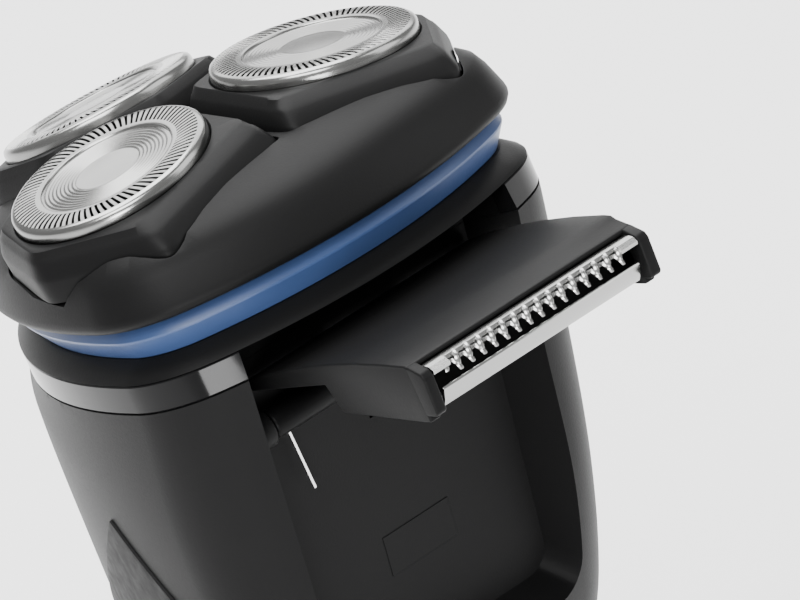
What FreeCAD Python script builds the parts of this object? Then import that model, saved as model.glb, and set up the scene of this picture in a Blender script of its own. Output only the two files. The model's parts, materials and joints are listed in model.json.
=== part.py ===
"""Three-headed rotary electric shaver with a pop-out hair trimmer, as a parametric document.

Millimetres.  +Z runs up the handle, the origin is the centre of the flat base, -Y is the front
(power button) and +Y is the back (trimmer).  The shaving head leans towards the front, so its
pieces are drawn in a head frame whose origin is the centre of the three guards.
"""
import FreeCAD, Part
import math
import os
from types import SimpleNamespace

import Sketcher

Vec = FreeCAD.Vector
Place = FreeCAD.Placement
Turn = FreeCAD.Rotation
X_AXIS = Vec(1, 0, 0)
Y_AXIS = Vec(0, 1, 0)
Z_AXIS = Vec(0, 0, 1)
NO_TURN = Turn()
FAR = 200.0          # reach of the boxes that only trim another solid

SIZES = [
    # alias, value, what it is
    ("head_height", 152.0, "height of the centre of the three guards above the base"),
    ("head_tilt", 16.0, "lean of the shaving head towards the front, degrees"),
    ("guard_spacing", 27.1, "distance between the centres of two guards"),
    ("guard_radius", 11.0, "outside radius of a slotted guard"),
    ("guard_lean", 9.0, "outward lean of each guard, degrees"),
    ("guard_depth", 3.4, "height of a guard's cup"),
    ("guard_wall", 0.35, "sheet thickness of a guard"),
    ("guard_proud", 1.2, "height of a guard above its holder's face"),
    ("track_inner", 7.6, "inside radius of the slotted track"),
    ("corner_x", 15.0, "collar outline: centre of the two back corners from the middle"),
    ("corner_y", 14.9, "collar outline: centre of the two back corners, towards the back"),
    ("corner_radius", 10.8, "collar outline: radius of the back corners"),
    ("back_reach", 29.4, "collar outline: middle of the back side"),
    ("nose_y", -13.0, "collar outline: centre of the front arc"),
    ("nose_radius", 18.0, "collar outline: radius of the front arc"),
    ("side_radius", 58.0, "collar outline: radius of the long sides"),
    ("seam_level", -21.2, "joint between handle and collar, below the guards"),
    ("band_height", 3.3, "height of the glossy collar band"),
    ("band_wall", 2.2, "wall of the glossy collar band"),
    ("shelf_height", 1.8, "height of the sloping matt collar"),
    ("shelf_width", 2.2, "width of the sloping matt collar"),
    ("ring_height", 3.8, "height of the coloured ring"),
    ("ring_chamfer", 1.5, "height of the ring's upper chamfer"),
    ("ring_wall", 2.0, "wall of the coloured ring"),
    ("ring_flare", 1.4, "how far the coloured ring leans out towards its top"),
    ("lip_overhang", 3.1, "how far the head cover stands out over the ring"),
    ("cover_wall", 1.5, "wall of the head cover"),
    ("rib_gap", 1.2, "distance from a holder's edge to the middle of the valley"),
    ("holder_gap", 0.5, "gap between a holder and the cover round it"),
    ("holder_height", 5.2, "height of a guard holder"),
    ("holder_slope", 0.9, "depth of the sloping face round a guard"),
    ("holder_wall_height", 2.0, "height of a holder's wall above the cover"),
    ("housing_wall", 2.0, "wall of the handle housings"),
    ("base_height", 6.0, "height of the base cap"),
    ("recess_floor", 24.2, "trimmer recess: distance of its floor from the middle"),
    ("recess_half_width", 15.2, "trimmer recess: half width of its floor at the top"),
    ("recess_taper", 1.0, "trimmer recess: how much its half width shrinks to the bottom"),
    ("recess_draft", 2.7, "trimmer recess: how much each side opens to the outside"),
    ("recess_bottom", 95.0, "trimmer recess: height of its bottom edge"),
    ("hinge_y", 26.0, "trimmer hinge pin, from the middle"),
    ("hinge_z", 129.8, "trimmer hinge pin, height"),
    ("hinge_pin_radius", 0.9, "radius of the trimmer's hinge pin"),
    ("trimmer_rise", 18.5, "slope of the open trimmer, degrees"),
    ("trimmer_length", 33.3, "length of the trimmer's cover from the hinge pin"),
    ("trimmer_half_width", 14.6, "half width of the trimmer at its end"),
    ("trimmer_flare", 0.2, "how much wider each side of the trimmer is at its root"),
    ("trimmer_wall", 1.3, "wall of the trimmer's cover"),
    ("comb_half_length", 13.2, "half length of the trimmer's comb"),
    ("tooth_pitch", 1.5, "pitch of the comb's teeth"),
    ("pinion_teeth", 33.0, "teeth on the motor pinion"),
    ("wheel_teeth", 30.0, "teeth on each of the three drive gears"),
    ("gear_width", 3.0, "width of the drive gears"),
    ("spindle_radius", 1.6, "radius of a drive spindle"),
    ("running_gap", 0.06, "radial clearance of turning fits"),
    ("motor_radius", 10.0, "radius of the motor"),
    ("motor_flat", 7.6, "distance of the motor's two flats from its axis"),
    ("motor_length", 25.0, "length of the motor"),
    ("battery_radius", 7.1, "radius of the cell"),
    ("battery_length", 49.0, "length of the cell"),
    ("battery_base", 24.0, "height of the cell's lower end"),
    ("board_thickness", 1.2, "thickness of the circuit board"),
    ("button_radius", 7.5, "radius of the power button"),
    ("button_height", 92.0, "height of the power button"),
    ("inlet_y", 8.0, "charging inlet, from the middle towards the back"),
    ("inlet_width", 9.4, "width of the charging inlet's opening"),
    ("inlet_depth", 5.6, "front-to-back size of the charging inlet's opening"),
    ("inlet_reach", 7.5, "how deep a plug goes into the charging inlet"),
    ("screw_radius", 1.1, "radius of a housing screw"),
]

# Handle sections from top to bottom:
# height, corner x, corner y, corner radius, back reach, nose y, nose radius, side radius
HANDLE_SECTIONS = [
    (122.0, 14.5, 19.2, 10.8, 31.6, -8.0, 18.0, 60.0),
    (105.0, 13.1, 19.0, 10.8, 31.6, -6.0, 18.0, 60.0),
    (90.0, 12.2, 16.8, 10.4, 29.2, -5.0, 17.0, 55.0),
    (76.0, 11.2, 12.4, 9.8, 24.6, -4.5, 15.5, 50.0),
    (58.0, 10.0, 9.6, 9.4, 21.0, -4.0, 14.5, 48.0),
    (34.0, 9.4, 7.6, 9.2, 18.6, -4.0, 13.6, 46.0),
    (5.0, 9.8, 7.4, 9.2, 18.4, -4.6, 13.4, 46.0),
]

doc = FreeCAD.newDocument("shaver")
sheet = doc.addObject("Spreadsheet::Sheet", "Sizes")
for row, (alias, number, meaning) in enumerate(SIZES, start=1):
    sheet.set(f"A{row}", alias)
    sheet.set(f"B{row}", str(number))
    sheet.setAlias(f"B{row}", alias)
    sheet.set(f"C{row}", meaning)
doc.recompute()
dim = SimpleNamespace(**{alias: float(sheet.get(alias)) for alias, _, _ in SIZES})

PARTS = []           # every sub-part, in the order it is made


# ---------------------------------------------------------------- helpers

def keep(obj, label, place=None):
    """Register a document object as a sub-part: its label names its file."""
    obj.Label = label
    if place is not None:
        obj.Placement = place
    PARTS.append(obj)
    return obj


def feature(label, shape, place=None):
    """A sub-part whose shape is built with Part's own functions."""
    obj = doc.addObject("Part::Feature", label)
    obj.Shape = shape.removeSplitter()
    return keep(obj, label, place or Place())


def primitive(kind, name, formulas, place=None):
    """A Part primitive with its sizes bound to the sheet."""
    obj = doc.addObject(kind, name)
    for prop, formula in formulas.items():
        obj.setExpression(prop, formula)
    if place is not None:
        obj.Placement = place
    return obj


def origin_plane(body, role):
    """The origin plane of a body with the given role."""
    return next(item for item in body.Origin.OriginFeatures if item.Role == role)


def polygon_sketch(body, role, corners):
    """A closed polygon on a body's origin plane, each corner a pair of sheet formulas."""
    sketch = body.newObject("Sketcher::SketchObject", body.Name + "_sketch")
    sketch.AttachmentSupport = (origin_plane(body, role), "")
    sketch.MapMode = "FlatFace"
    points = []
    for across, up in corners:
        points.append(Vec(float(sketch.evalExpression(across)), float(sketch.evalExpression(up)), 0))
    count = len(points)
    for index in range(count):
        sketch.addGeometry(Part.LineSegment(points[index], points[(index + 1) % count]))
    for index in range(count):
        sketch.addConstraint(Sketcher.Constraint("Coincident", index, 2, (index + 1) % count, 1))
    for index, corner in enumerate(corners):
        for kind, formula, number in zip(("DistanceX", "DistanceY"), corner, points[index]):
            place = sketch.addConstraint(Sketcher.Constraint(kind, -1, 1, index, 1, number))
            sketch.setExpression(f"Constraints[{place}]", formula)
    return sketch


def turned(label, corners, place=None):
    """A turned piece: the polygon of (radius, height) formulas revolved about Z."""
    body = doc.addObject("PartDesign::Body", label)
    sketch = polygon_sketch(body, "XZ_Plane", corners)
    revolution = body.newObject("PartDesign::Revolution", label + "_revolution")
    revolution.Profile = sketch
    revolution.ReferenceAxis = (sketch, ["V_Axis"])
    revolution.Angle = 360.0
    return keep(body, label, place)


def padded(label, role, corners, length, place=None, symmetric=False):
    """A flat piece: the polygon of formulas padded by a formula's length."""
    body = doc.addObject("PartDesign::Body", label)
    sketch = polygon_sketch(body, role, corners)
    pad = body.newObject("PartDesign::Pad", label + "_pad")
    pad.Profile = sketch
    pad.setExpression("Length", length)
    if symmetric:
        pad.SideType = "Symmetric"
    return keep(body, label, place)


def box(x0, x1, y0, y1, z0, z1):
    """A box between two corners."""
    return Part.makeBox(x1 - x0, y1 - y0, z1 - z0, Vec(x0, y0, z0))


def rod(radius, start, end):
    """A cylinder from one point to another."""
    along = end - start
    return Part.makeCylinder(radius, along.Length, start, along)


def unit(vector):
    """The vector's direction."""
    return vector * (1.0 / vector.Length)


def outline(spec, offset=0.0, place=None):
    """The rounded-triangle outline of six tangent arcs, grown evenly by offset.

    spec is (corner x, corner y, corner radius, back reach, nose y, nose radius, side radius).
    The arcs keep their centres when the outline grows, so two outlines never cross.
    """
    corner_x, corner_y, corner_r, back, nose_y, nose_r, side_r = spec
    corner = Vec(corner_x, corner_y, 0)
    nose = Vec(0, nose_y, 0)
    drop = corner_y - back
    back_r = (corner_x ** 2 + drop ** 2 - corner_r ** 2) / (2 * (-drop - corner_r))
    hub = Vec(0, back - back_r, 0)
    # The side arc's centre is where two circles about the corner and the nose meet.
    reach_corner = side_r - corner_r
    reach_nose = side_r - nose_r
    span = nose - corner
    along = (reach_corner ** 2 - reach_nose ** 2 + span.Length ** 2) / (2 * span.Length)
    aside = math.sqrt(reach_corner ** 2 - along ** 2)
    across = unit(Vec(span.y, -span.x, 0))
    side = corner + unit(span) * along + across * aside
    if side.x > corner.x:
        side = corner + unit(span) * along - across * aside
    start = corner + unit(corner - hub) * (corner_r + offset)
    shoulder = corner + unit(corner - side) * (corner_r + offset)
    chin = nose + unit(nose - side) * (nose_r + offset)

    def between(centre, radius, first, last):
        return centre + unit(unit(first - centre) + unit(last - centre)) * (radius + offset)

    def mirrored(point):
        return Vec(-point.x, point.y, 0)

    corner_mid = between(corner, corner_r, start, shoulder)
    side_mid = between(side, side_r, shoulder, chin)
    arcs = [
        (mirrored(start), Vec(0, back + offset, 0), start),
        (start, corner_mid, shoulder),
        (shoulder, side_mid, chin),
        (chin, Vec(0, nose_y - nose_r - offset, 0), mirrored(chin)),
        (mirrored(chin), mirrored(side_mid), mirrored(shoulder)),
        (mirrored(shoulder), mirrored(corner_mid), mirrored(start)),
    ]
    wire = Part.Wire([Part.Arc(*points).toShape() for points in arcs])
    wire.Placement = place or Place()
    return wire


HEAD = Place(Vec(0, 0, dim.head_height), Turn(X_AXIS, dim.head_tilt))
BASE_ROUNDING = 1.2  # how far the handle steps in at its foot
COLLAR = (dim.corner_x, dim.corner_y, dim.corner_radius, dim.back_reach,
          dim.nose_y, dim.nose_radius, dim.side_radius)


def level(height):
    """A placement at a height of the head frame, still in that frame."""
    return Place(Vec(0, 0, height), NO_TURN)


def collar_solid(steps):
    """Solid through collar outlines, steps being (offset, height) in the head frame."""
    wires = [outline(COLLAR, offset, level(height)) for offset, height in steps]
    return Part.makeLoft(wires, True, True)


def handle_solid(offset):
    """The handle's solid, grown by offset, running past the collar seam and the base."""
    top = HEAD.multiply(level(dim.seam_level + dim.band_height))
    seam = HEAD.multiply(level(dim.seam_level))
    wires = [outline(COLLAR, offset, top), outline(COLLAR, offset, seam)]
    for height, *spec in HANDLE_SECTIONS:
        wires.append(outline(spec, offset, level(height)))
    # The last section steps in by the rounding of the base's edge.
    wires.append(outline(HANDLE_SECTIONS[-1][1:], offset - BASE_ROUNDING, level(0.0)))
    return Part.makeLoft(wires, True, False)



# ---------------------------------------------------------------- levels of the head

seam = dim.seam_level
band_top = seam + dim.band_height
shelf_top = band_top + dim.shelf_height
ring_base = shelf_top + 0.1
ring_top = ring_base + dim.ring_height
ring_offset = -dim.shelf_width - 0.1

# ---------------------------------------------------------------- handle shells

outer = handle_solid(0.0)
inner = handle_solid(-dim.housing_wall)
below_seam = box(-FAR, FAR, -FAR, FAR, -2 * FAR, seam)
below_seam.Placement = HEAD
recess_top = dim.head_height + FAR / 10


def recess_solid(grow):
    """The trimmer's recess, its walls moved outwards by grow."""
    low = dim.recess_bottom
    wide = dim.recess_half_width + grow
    narrow = wide - dim.recess_taper

    def face(y_place, opening):
        corners = [Vec(-wide - opening, y_place, recess_top), Vec(wide + opening, y_place, recess_top),
                   Vec(narrow + opening, y_place, low - grow - opening),
                   Vec(-narrow - opening, y_place, low - grow - opening)]
        return Part.makePolygon(corners + corners[:1])

    depth = dim.back_reach + 12.0
    slope = dim.recess_draft / (dim.back_reach + 1.0 - dim.recess_floor)
    near = dim.recess_floor - grow
    solid = Part.makeLoft([face(near, 0.0), face(depth, slope * (depth - near))], True, True)
    uprights = []
    for edge in solid.Edges:
        first, last = edge.Vertexes
        if max(first.Z, last.Z) < low + 1.0 and abs(first.Y - last.Y) > 1.0:
            uprights.append(edge)
    return solid.makeFillet(3.0 + grow, uprights)


recess = recess_solid(0.0)
pan = recess_solid(dim.housing_wall - 0.4)

SLIDER_HALF_WIDTH = 13.0
SLIDER_HEIGHT = 13.0
SLIDER_GAP = 0.35
SLIDER_TRAVEL = 3.0
slider_top = dim.recess_bottom - 7.0
slider_low = slider_top - SLIDER_HEIGHT


def grip_zone(grow):
    """Both side zones that the grips fill, seen from the side, grown by grow."""
    points = [Vec(0, -9.0 - grow, 12.0 - grow), Vec(0, 8.0 + grow, 12.0 - grow), Vec(0, 13.5 + grow, 60.0),
              Vec(0, 19.0 + grow, 107.0 + grow), Vec(0, 7.0 - grow, 117.7 + grow), Vec(0, -8.0 - grow, 99.0)]
    face = Part.Face(Part.makePolygon(points + points[:1]))
    right = face.extrude(Vec(FAR, 0, 0))
    left = face.extrude(Vec(-FAR, 0, 0))
    clear = box(-12.0, 12.0, -FAR, FAR, -FAR, FAR)
    return right.fuse(left).cut(clear)


GRIP_DEPTH = 0.9
GRIP_PROUD = 0.3
grip_floor = handle_solid(-GRIP_DEPTH)
grip_pocket = grip_zone(0.0).cut(grip_floor)

shell = outer.cut(inner).common(below_seam)
front_space = box(-FAR, FAR, -FAR, 0.0, dim.base_height, FAR)
rear_space = box(-FAR, FAR, 0.0, FAR, dim.base_height, FAR)

LENS_LOW = 68.0
LENS_SIZE = (6.0, 2.4)
FIT_GAP = 0.15       # gap round a pressed-in piece
button_hole = rod(dim.button_radius + 0.3, Vec(0, -FAR, dim.button_height), Vec(0, 0, dim.button_height))
lens_hole = box(-LENS_SIZE[0] / 2 - FIT_GAP, LENS_SIZE[0] / 2 + FIT_GAP, -FAR, -10.0,
                LENS_LOW - FIT_GAP, LENS_LOW + LENS_SIZE[1] + FIT_GAP)
front = shell.common(front_space).cut(grip_pocket).cut(button_hole).cut(lens_hole)

pan_block = outer.common(below_seam).common(pan).common(rear_space)
rear = shell.common(rear_space).fuse(pan_block).cut(recess).cut(grip_pocket)
slider_track = box(-SLIDER_HALF_WIDTH - SLIDER_GAP, SLIDER_HALF_WIDTH + SLIDER_GAP, 12.0, FAR,
                   slider_low - SLIDER_TRAVEL - SLIDER_GAP, slider_top + SLIDER_GAP)
pin_half_length = dim.recess_half_width + 1.2
pin_hole = rod(dim.hinge_pin_radius, Vec(-pin_half_length, dim.hinge_y, dim.hinge_z),
               Vec(pin_half_length, dim.hinge_y, dim.hinge_z))
rear = rear.cut(slider_track).cut(pin_hole)

# Four screws run from the back through bosses inside the housings.
BOSS_RADIUS = 2.6
BOSS_WEB = 0.7        # half thickness of the web that ties a boss to the wall
screw_places = [(x, z) for z in (16.0, 62.0) for x in (-11.5, 11.5)]
BOSS_FRONT = -6.0
BOSS_BACK = 8.0
for x, z in screw_places:
    boss = rod(BOSS_RADIUS, Vec(x, BOSS_FRONT, z), Vec(x, BOSS_BACK, z))
    web = box(min(x, x * FAR), max(x, x * FAR), BOSS_FRONT, BOSS_BACK, z - BOSS_WEB, z + BOSS_WEB)
    boss = boss.fuse(web).common(grip_floor)
    front = front.fuse(boss.common(front_space))
    rear = rear.fuse(boss.common(rear_space))
    hole = rod(dim.screw_radius, Vec(x, BOSS_FRONT + 1.0, z), Vec(x, FAR, z))
    front = front.cut(hole)
    rear = rear.cut(hole)

# The trimmer's drive lever comes out through a slot in the recess's floor.
LEVER_HALF = 0.9
LEVER_SWEEP = 0.7
lever_z = dim.hinge_z - 6.0
slot_half = LEVER_HALF + LEVER_SWEEP + 0.3
lever_slot = box(-slot_half, slot_half, 12.0, dim.recess_floor + 0.5,
                 lever_z - LEVER_HALF - 0.2, lever_z + LEVER_HALF + 0.2)

# A low raised plate on the recess's floor.
STAMP_HALF = 4.4
STAMP_LOW, STAMP_TOP = 104.6, 109.4
STAMP_HEIGHT = 0.3
stamp = box(-STAMP_HALF, STAMP_HALF, dim.recess_floor - 0.2, dim.recess_floor + STAMP_HEIGHT,
            STAMP_LOW, STAMP_TOP)
rear = rear.cut(lever_slot).fuse(stamp)
feature("front_housing", front)
feature("rear_housing", rear)

grips = grip_zone(-FIT_GAP).common(handle_solid(GRIP_PROUD)).cut(handle_solid(FIT_GAP - GRIP_DEPTH))
feature("grip_left", grips.common(box(0, FAR, -FAR, FAR, 0, FAR)))
feature("grip_right", grips.common(box(-FAR, 0, -FAR, FAR, 0, FAR)))

# ---------------------------------------------------------------- base cap and charging inlet

SOCKET_WALL = 1.3
socket_half_x = dim.inlet_width / 2 + SOCKET_WALL
socket_half_y = dim.inlet_depth / 2 + SOCKET_WALL
socket_top = dim.inlet_reach + SOCKET_WALL
below_base = box(-FAR, FAR, -FAR, FAR, -FAR, dim.base_height)
base_floor = box(-FAR, FAR, -FAR, FAR, dim.housing_wall, FAR)
socket_space = box(-socket_half_x, socket_half_x, dim.inlet_y - socket_half_y, dim.inlet_y + socket_half_y,
                   -1.0, FAR)
base = outer.common(below_base).cut(inner.common(base_floor)).cut(socket_space)
feature("base_cap", base)


def rounded_bar(half_x, half_y, low, high):
    """An upright bar with round ends, centred on the handle's axis."""
    middle = box(-half_x + half_y, half_x - half_y, -half_y, half_y, low, high)
    ends = [rod(half_y, Vec(x, 0, low), Vec(x, 0, high)) for x in (-half_x + half_y, half_x - half_y)]
    return middle.fuse(ends)


socket = box(-socket_half_x, socket_half_x, -socket_half_y, socket_half_y, 0.3, socket_top)
socket = socket.cut(rounded_bar(dim.inlet_width / 2, dim.inlet_depth / 2, 0.0, dim.inlet_reach))
PIN_RADIUS = 0.8
PIN_PITCH = 4.4
PIN_TIP = 4.6
pin_places = (-PIN_PITCH / 2, PIN_PITCH / 2)
for x in pin_places:
    socket = socket.cut(rod(PIN_RADIUS, Vec(x, 0, 1.0), Vec(x, 0, socket_top + 1.0)))
inlet_place = Place(Vec(0, dim.inlet_y, 0), NO_TURN)
feature("charging_socket", socket, inlet_place)
pins = [rod(PIN_RADIUS, Vec(x, 0, PIN_TIP), Vec(x, 0, socket_top + 3.0)) for x in pin_places]
feature("socket_pins", Part.makeCompound(pins), inlet_place)

# ---------------------------------------------------------------- cell, board, motor

CELL_Y = 1.0
CONTACT_RADIUS = 4.2
CONTACT_THICKNESS = 1.2
primitive("Part::Cylinder", "cell", {"Radius": "Sizes.battery_radius", "Height": "Sizes.battery_length"})
doc.cell.Placement = Place(Vec(0, CELL_Y, dim.battery_base), NO_TURN)
keep(doc.cell, "battery")
cell_top = dim.battery_base + dim.battery_length
contacts = [rod(CONTACT_RADIUS, Vec(0, CELL_Y, low), Vec(0, CELL_Y, low + CONTACT_THICKNESS))
            for low in (dim.battery_base - CONTACT_THICKNESS - 0.1, cell_top + 0.1)]
feature("battery_contacts", Part.makeCompound(contacts))

CRADLE_GAP = 0.2
cradle_r = dim.battery_radius + CRADLE_GAP
cradle_low, cradle_high = dim.battery_base - 1.4, cell_top + 1.4
cradle = rod(cradle_r + 1.2, Vec(0, CELL_Y, cradle_low - 1.4), Vec(0, CELL_Y, cradle_high + 1.4))
cradle = cradle.cut(rod(cradle_r, Vec(0, CELL_Y, cradle_low), Vec(0, CELL_Y, cradle_high)))
cradle = cradle.cut(box(-FAR, FAR, 3.0, FAR, cradle_low, cradle_high))
feature("battery_cradle", cradle)

board_back = CELL_Y - cradle_r - 1.3
padded("circuit_board", "XZ_Plane",
       [("-9.5", "Sizes.battery_base"), ("9.5", "Sizes.battery_base"),
        ("9.5", "Sizes.button_height + 6"), ("-9.5", "Sizes.button_height + 6")],
       "Sizes.board_thickness", Place(Vec(0, board_back, 0), NO_TURN))
board_front = board_back - dim.board_thickness

motor_top = seam - 6.1
MOTOR = HEAD.multiply(level(motor_top - dim.motor_length))
can = rod(dim.motor_radius, Vec(0, 0, 0), Vec(0, 0, dim.motor_length))
can = can.common(box(-FAR, FAR, -dim.motor_flat, dim.motor_flat, 0, dim.motor_length))
can = can.cut(rod(1.2, Vec(0, 0, dim.motor_length - 4.0), Vec(0, 0, dim.motor_length)))
feature("motor", can, MOTOR)

# ---------------------------------------------------------------- collar, gear train

band_block = collar_solid([(0.0, seam), (0.0, band_top)])
band = band_block.cut(collar_solid([(-dim.band_wall, seam), (-dim.band_wall, band_top)]))
recess_in_head = recess.copy()
recess_in_head.Placement = HEAD.inverse()
pan_in_head = pan.copy()
pan_in_head.Placement = HEAD.inverse()
band = band.fuse(band_block.common(pan_in_head)).cut(recess_in_head)

# The button that lets the head go sits in the front of the band.
release_front = dim.nose_y - dim.nose_radius
RELEASE_HALF = 5.0
release_slot = box(-RELEASE_HALF - FIT_GAP, RELEASE_HALF + FIT_GAP, -FAR, release_front + 6.0,
                   seam + 0.5, band_top - 0.3)
feature("collar_band", band.cut(release_slot), HEAD)
release = box(-RELEASE_HALF, RELEASE_HALF, -FAR, release_front + 2.8, seam + 0.65, band_top - 0.45)
feature("head_release_button", release.common(collar_solid([(0.4, seam), (0.4, band_top)])), HEAD)

shelf_inner = -dim.shelf_width - 2.1
shelf = collar_solid([(0.0, band_top), (-dim.shelf_width, shelf_top)])
shelf = shelf.cut(collar_solid([(shelf_inner, band_top), (shelf_inner, shelf_top)]))
feature("collar_shelf", shelf, HEAD)

spindle_reach = dim.guard_spacing / math.sqrt(3)
gear_module = 2 * spindle_reach / (dim.pinion_teeth + dim.wheel_teeth)
SPINDLES = {"left": 30.0, "right": 150.0, "front": 270.0}


def spoke(angle, reach, height=0.0):
    """A point of the head frame at an angle and distance from its middle."""
    turn = math.radians(angle)
    return Vec(reach * math.cos(turn), reach * math.sin(turn), height)


deck_top = band_top - 0.2
deck_low = deck_top - 1.4
deck = collar_solid([(-dim.band_wall - 0.1, deck_low), (-dim.band_wall - 0.1, deck_top)])
gear_base = seam - 4.4
deck_gap = box(-FAR, FAR, dim.recess_floor - 1.8, FAR, dim.hinge_z - 30.0, FAR)
deck_gap.Placement = HEAD.inverse()
release_room = box(-RELEASE_HALF - 1.0, RELEASE_HALF + 1.0, -FAR, release_front + 5.0, -FAR, FAR)
deck = deck.cut(release_room)
mount_low = gear_base - 1.6
mount = collar_solid([(-dim.housing_wall - 3.4, mount_low), (-dim.housing_wall - 3.4, gear_base - 0.3)])
mount = mount.cut(deck_gap)
mount = mount.cut(rod(1.4, Vec(0, 0, mount_low - 1), Vec(0, 0, gear_base)))
spindle_r = dim.spindle_radius
for name, angle in SPINDLES.items():
    bore = rod(spindle_r + dim.running_gap, spoke(angle, spindle_reach, mount_low - 1),
               spoke(angle, spindle_reach, deck_top + 1))
    deck = deck.cut(bore)
    mount = mount.cut(bore)
feature("gear_deck", deck.cut(deck_gap), HEAD)
feature("motor_mount", mount, HEAD)


def gear(teeth, bore_radius):
    """A spur gear about Z with straight-sided teeth and a bore."""
    pitch_r = gear_module * teeth / 2
    tip = pitch_r + 0.8 * gear_module
    root = pitch_r - 1.1 * gear_module
    points = []
    for index in range(teeth):
        for share, radius in ((-0.30, root), (-0.12, tip), (0.12, tip), (0.30, root)):
            turn = 2 * math.pi * (index + share) / teeth
            points.append(Vec(radius * math.cos(turn), radius * math.sin(turn), 0))
    blank = Part.Face(Part.makePolygon(points + points[:1])).extrude(Vec(0, 0, dim.gear_width))
    return blank.cut(rod(bore_radius, Vec(), Vec(0, 0, dim.gear_width)))


SHAFT_RADIUS = 1.0
pinion_frame = HEAD.multiply(Place(Vec(0, 0, gear_base), Turn(Z_AXIS, SPINDLES["front"])))
feature("motor_pinion", gear(int(dim.pinion_teeth), SHAFT_RADIUS), pinion_frame)
shaft_base = motor_top - 3.8
feature("motor_shaft", rod(SHAFT_RADIUS, Vec(0, 0, shaft_base), Vec(0, 0, gear_base + dim.gear_width)), HEAD)

cutter_level = -2.6
spindle_tip = cutter_level - 0.8
for name, angle in SPINDLES.items():
    centre = spoke(angle, spindle_reach, gear_base)
    # Each wheel meets a space of the pinion: half a tooth of turn where the pinion shows a tooth.
    pinion_phase = ((angle - SPINDLES["front"]) * dim.pinion_teeth / 360.0) % 1.0
    wheel_turn = angle + 180.0 + (0.5 - pinion_phase) * 360.0 / dim.wheel_teeth
    wheel_frame = HEAD.multiply(Place(centre, Turn(Z_AXIS, wheel_turn)))
    feature("drive_gear_" + name, gear(int(dim.wheel_teeth), spindle_r), wheel_frame)
    foot = spoke(angle, spindle_reach, mount_low + 0.2)
    turned("drive_spindle_" + name,
           [("0", "0"), ("Sizes.spindle_radius", "0"),
            ("Sizes.spindle_radius", str(spindle_tip - mount_low - 1.4)),
            ("Sizes.spindle_radius * 0.6", str(spindle_tip - mount_low - 0.2)),
            ("0", str(spindle_tip - mount_low - 0.2))],
           HEAD.multiply(Place(foot, NO_TURN)))

# ---------------------------------------------------------------- head: ring, cover, chamber

ring_low = ring_top - dim.ring_chamfer
ring_brim = ring_offset + dim.ring_flare
ring = collar_solid([(ring_offset, ring_base), (ring_brim, ring_low), (ring_brim - 0.9, ring_top)])
ring_bore = ring_offset - dim.ring_wall
ring = ring.cut(collar_solid([(ring_bore, ring_base), (ring_bore, ring_top)]))
feature("accent_ring", ring, HEAD)

lip = ring_offset + dim.lip_overhang
COVER_STEPS = [  # (offset from the collar outline, height in the head frame)
    (lip - 2.0, ring_top + 0.05), (lip - 0.4, ring_top + 0.4), (lip, ring_top + 1.0),
    (lip - 0.4, ring_top + 2.4),
    (lip - 1.7, ring_top + 5.6), (lip - 5.3, ring_top + 7.6), (lip - 9.6, ring_top + 9.0),
]
inner_steps = [(offset - dim.cover_wall, height) for offset, height in COVER_STEPS[:4]]
inner_steps += [(offset - dim.cover_wall / 2, height - dim.cover_wall) for offset, height in COVER_STEPS[4:]]
cover = collar_solid(COVER_STEPS).cut(collar_solid(inner_steps))
hollow = collar_solid([(ring_bore + 0.2, ring_top - 1), (ring_bore + 0.2, ring_top + 1)])
cover = cover.cut(hollow)


def guard_frame(angle):
    """The leaning frame of one guard, +X away from the middle of the head."""
    spot = Place(spoke(angle, spindle_reach), Turn(Z_AXIS, angle))
    return spot.multiply(Place(Vec(), Turn(Y_AXIS, dim.guard_lean)))


def rounded_polygon(corners, radius):
    """A closed wire through the corners with each corner rounded by an arc."""
    edges = []
    count = len(corners)
    last = None
    first = None
    for index, corner in enumerate(corners):
        back = unit(corners[index - 1] - corner)
        ahead = unit(corners[(index + 1) % count] - corner)
        half = math.acos(max(-1.0, min(1.0, back.dot(ahead)))) / 2
        start = corner + back * (radius / math.tan(half))
        end = corner + ahead * (radius / math.tan(half))
        middle = corner + unit(back + ahead) * (radius / math.sin(half) - radius)
        if last is not None:
            edges.append(Part.LineSegment(last, start).toShape())
        edges.append(Part.Arc(start, middle, end).toShape())
        first = first or start
        last = end
    edges.append(Part.LineSegment(last, first).toShape())
    return Part.Wire(edges)


def holder_outline(sides, height):
    """The outline round a guard: sides are (direction of the normal in degrees, distance)."""
    corners = []
    for index, (angle, distance) in enumerate(sides):
        next_angle, next_distance = sides[(index + 1) % len(sides)]
        a1, a2 = math.radians(angle), math.radians(next_angle)
        det = math.cos(a1) * math.sin(a2) - math.sin(a1) * math.cos(a2)
        corners.append(Vec((distance * math.sin(a2) - next_distance * math.sin(a1)) / det,
                           (next_distance * math.cos(a1) - distance * math.cos(a2)) / det, height))
    return rounded_polygon(corners, HOLDER_ROUNDING)


HOLDER_ROUNDING = 1.5
HOLDER_RIM = 0.7     # width of the flat round a guard
valley_face = dim.guard_spacing / 2 - dim.rib_gap
valley_lean = math.tan(math.radians(dim.guard_lean)) * math.sin(math.radians(60))
# Sides of a holder at its foot between the two valleys: (direction, distance past the guard).
round_side = [(95.0, 2.2), (45.0, 1.9)]
back_side = [(0.0, 2.7), (-72.0, 3.9)]
HOLDER_SIDES = {
    "right": round_side + back_side,
    "left": [(-angle, reach) for angle, reach in reversed(round_side + back_side)],
    "front": round_side + [(0.0, 1.6)] + [(-angle, reach) for angle, reach in reversed(round_side)],
}


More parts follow.
